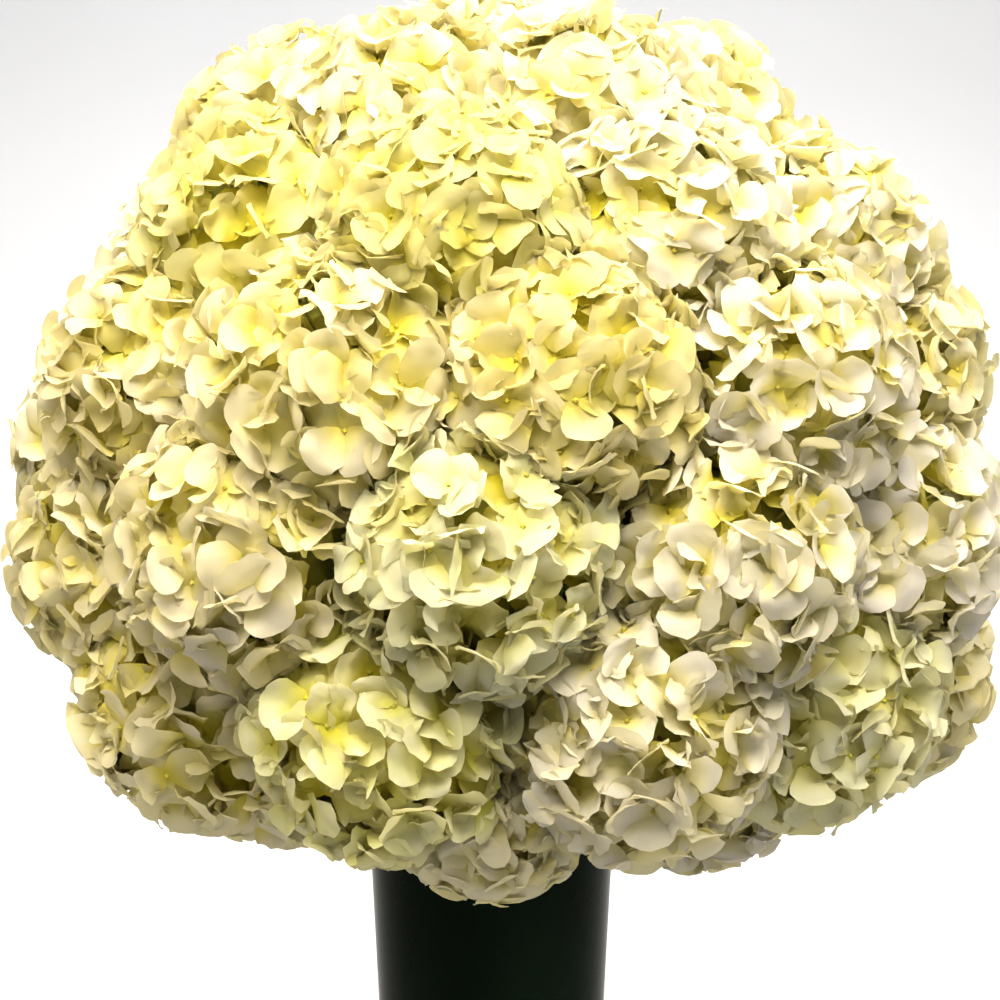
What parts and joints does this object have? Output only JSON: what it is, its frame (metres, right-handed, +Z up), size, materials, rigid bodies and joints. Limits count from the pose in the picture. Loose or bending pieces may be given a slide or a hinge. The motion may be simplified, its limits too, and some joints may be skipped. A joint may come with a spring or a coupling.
{
  "type": "hydrangea bouquet in a vase",
  "caption": "Large domed bunch of cream mophead hydrangeas, tied by the stems and standing in water in a tall, plain, slightly flared dark green glass vase.",
  "frame": {"origin": "centre of the vase's foot, on the surface that it stands on", "axes": "+Z up along the vase's axis; -Y is the front of the bunch, the side that the picture shows; +X is to the right seen from the front"},
  "size_m": [0.5621, 0.5811, 0.7619],
  "materials": {
    "vase_glass": "glossy dark bottle-green glass, so dark that nothing inside shows",
    "water": "clear water",
    "petal_cream": "soft matte cream sepals, yellow-green towards the middle of each floret",
    "petal_ivory": "soft matte ivory sepals with a faint grey-lilac tint",
    "petal_green": "soft matte yellow-green sepals",
    "stem": "fresh green stem, satin",
    "twine": "coarse jute twine, matte"
  },
  "bodies": {
    "root": {"vase": "vase_glass", "water": "water", "head_01": "petal_cream", "head_02": "petal_ivory", "head_03": "petal_cream", "head_04": "petal_green", "head_05": "petal_cream", "head_06": "petal_ivory", "head_07": "petal_cream", "head_08": "petal_green", "head_09": "petal_cream", "head_10": "petal_ivory", "head_11": "petal_cream", "head_12": "petal_green", "head_13": "petal_cream", "head_14": "petal_ivory", "head_15": "petal_cream", "head_16": "petal_green", "head_17": "petal_cream", "head_18": "petal_ivory", "head_19": "petal_cream", "head_20": "petal_green", "head_21": "petal_cream", "head_22": "petal_ivory", "head_23": "petal_cream", "head_24": "petal_green", "head_25": "petal_cream", "head_26": "petal_ivory", "head_27": "petal_cream", "head_28": "petal_green", "head_29": "petal_cream", "head_30": "petal_ivory", "head_31": "petal_cream", "head_32": "petal_green", "head_33": "petal_cream", "head_34": "petal_ivory", "head_35": "petal_cream", "head_36": "petal_green", "head_37": "petal_cream", "head_38": "petal_ivory", "head_39": "petal_cream", "head_40": "petal_green", "head_41": "petal_cream", "head_42": "petal_ivory", "head_43": "petal_cream", "head_44": "petal_green", "head_45": "petal_cream", "head_46": "petal_ivory", "head_47": "petal_cream", "head_48": "petal_green", "head_49": "petal_cream", "head_50": "petal_ivory", "head_51": "petal_cream", "head_52": "petal_green", "head_53": "petal_cream", "stems": "stem", "tie": "twine"}
  },
  "joints": []
}
